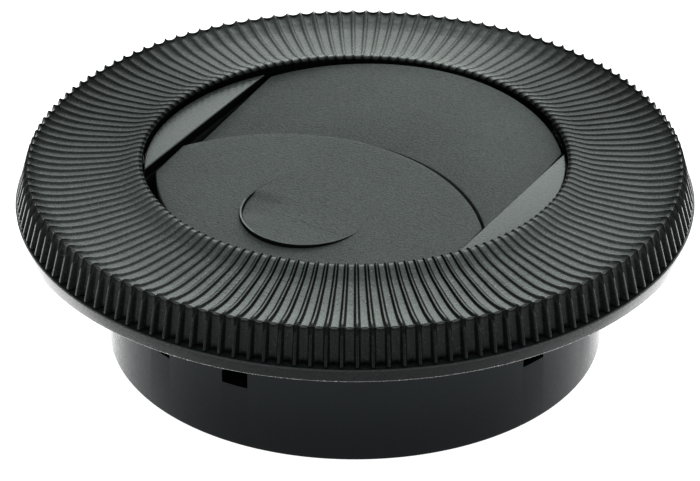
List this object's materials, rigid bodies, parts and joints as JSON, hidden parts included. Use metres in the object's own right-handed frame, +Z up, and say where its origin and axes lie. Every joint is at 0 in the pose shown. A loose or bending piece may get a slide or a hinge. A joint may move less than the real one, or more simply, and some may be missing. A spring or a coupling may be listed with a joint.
{
  "type": "desk grommet",
  "caption": "Round desk grommet with a flanged tube, a turning fluted ring and two ganged tilting leaves that open a cable passage.",
  "frame": {"origin": "centre of the tube's lower end, which is the bottom centre of the bounding box", "axes": "+Z up along the tube, out of the desk; +X along the leaves' tilt axes; -Y towards the thumb pad"},
  "size_m": [0.1078, 0.1078, 0.0316],
  "materials": {
    "housing_plastic": "satin",
    "ring_plastic": "satin",
    "carrier_plastic": "matt",
    "cover_plastic": "satin",
    "leaf_plastic": "fine grain",
    "crank_plastic": "matt",
    "steel": "bright"
  },
  "bodies": {
    "base": {"housing": "housing_plastic"},
    "rotor": {"ribbed_ring": "ring_plastic", "leaf_carrier": "carrier_plastic", "left_cover": "cover_plastic", "right_cover": "cover_plastic"},
    "front_leaf": {"front_leaf": "leaf_plastic", "front_rod": "steel", "front_rod_clip": "steel", "front_crank": "crank_plastic", "front_link_clip": "steel"},
    "rear_leaf": {"rear_leaf": "leaf_plastic", "rear_rod": "steel", "rear_rod_clip": "steel", "rear_crank": "crank_plastic", "rear_link_clip": "steel"},
    "link": {"link_bar": "crank_plastic"}
  },
  "joints": [
    {"name": "ring_turn", "type": "hinge", "parent": "base", "child": "rotor", "pos_m": [0, 0, 0.0285], "axis": [0, 0, 1], "continuous": true},
    {"name": "front_leaf_tilt", "type": "hinge", "parent": "rotor", "child": "front_leaf", "pos_m": [0, -0.01307, 0.0262], "axis": [1, 0, 0], "range_deg": [-5, 80]},
    {"name": "rear_leaf_tilt", "type": "hinge", "parent": "rotor", "child": "rear_leaf", "pos_m": [0, 0.01307, 0.0262], "axis": [1, 0, 0], "range_deg": [-5, 80]},
    {"name": "link_swing", "type": "hinge", "parent": "front_leaf", "child": "link", "pos_m": [0.0314, -0.0152, 0.02342], "axis": [1, 0, 0], "range_deg": [-80, 5]}
  ],
  "couplings": [
    {"joint": "rear_leaf_tilt", "follows": "front_leaf_tilt", "ratio": 1},
    {"joint": "link_swing", "follows": "front_leaf_tilt", "ratio": -1}
  ]
}
